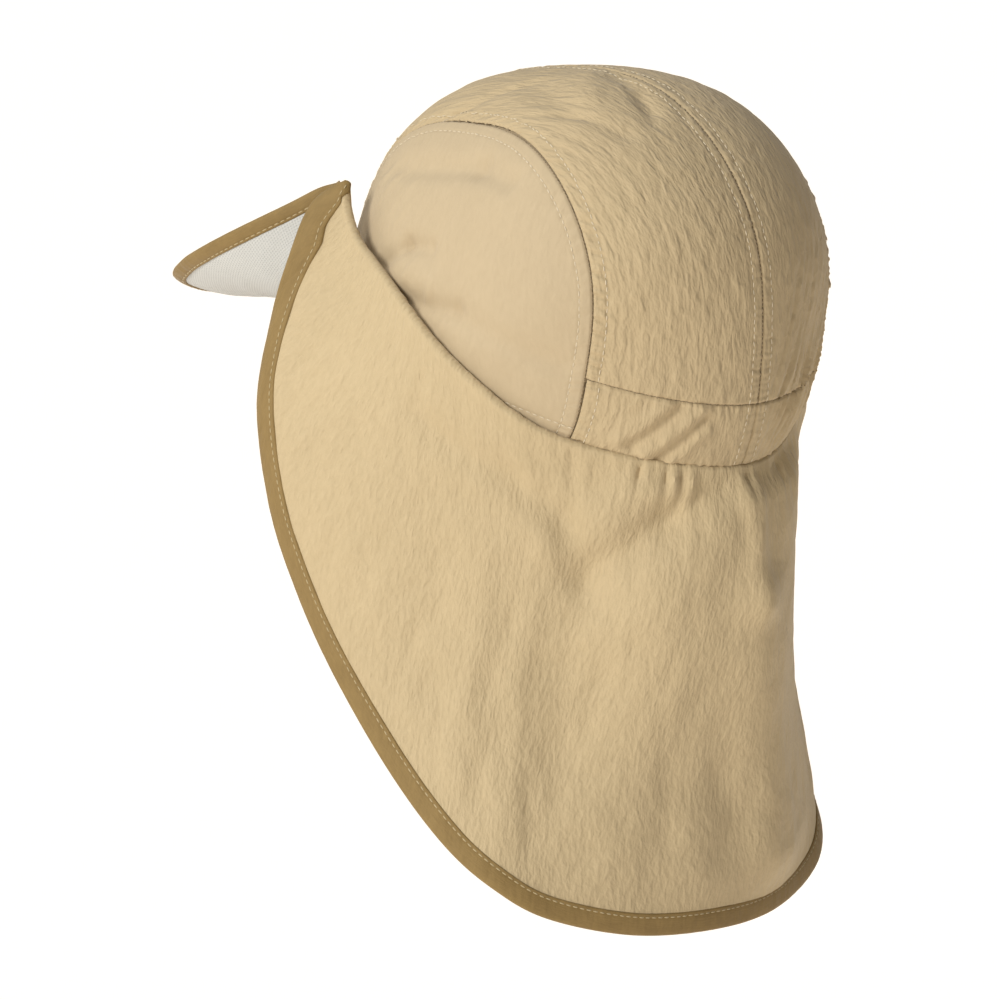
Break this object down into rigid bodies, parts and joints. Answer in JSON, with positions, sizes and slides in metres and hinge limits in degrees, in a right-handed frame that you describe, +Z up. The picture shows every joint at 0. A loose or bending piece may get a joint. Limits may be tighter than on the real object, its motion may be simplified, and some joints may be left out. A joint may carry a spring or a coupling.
{
  "type": "flap sun hat",
  "caption": "Sand-coloured sun hat with a panelled crown, a short dipped visor and a long neck flap edged with olive binding.",
  "frame": {"origin": "centre of the crown's base ring at the level of the back seam, where the hat sits on a head", "axes": "+Z up as gravity with the hat worn, +X to the wearer's left, the visor faces -Y, the crown is tilted back 23.3 degrees"},
  "size_m": [0.2322, 0.2719, 0.3315],
  "materials": {
    "sand_cloth": "thin crinkled nylon, matt with a faint sheen",
    "olive_binding": "folded woven binding, matt",
    "mesh_lining": "fine off-white mesh, matt"
  },
  "bodies": {
    "root": {"side_panel_left": "sand_cloth", "side_panel_right": "sand_cloth", "centre_panel_left": "sand_cloth", "centre_panel_right": "sand_cloth", "back_band_left": "sand_cloth", "back_band_right": "sand_cloth", "neck_flap": "sand_cloth", "flap_binding": "olive_binding", "visor_top": "sand_cloth", "visor_lining": "mesh_lining", "visor_binding": "olive_binding"}
  },
  "joints": []
}
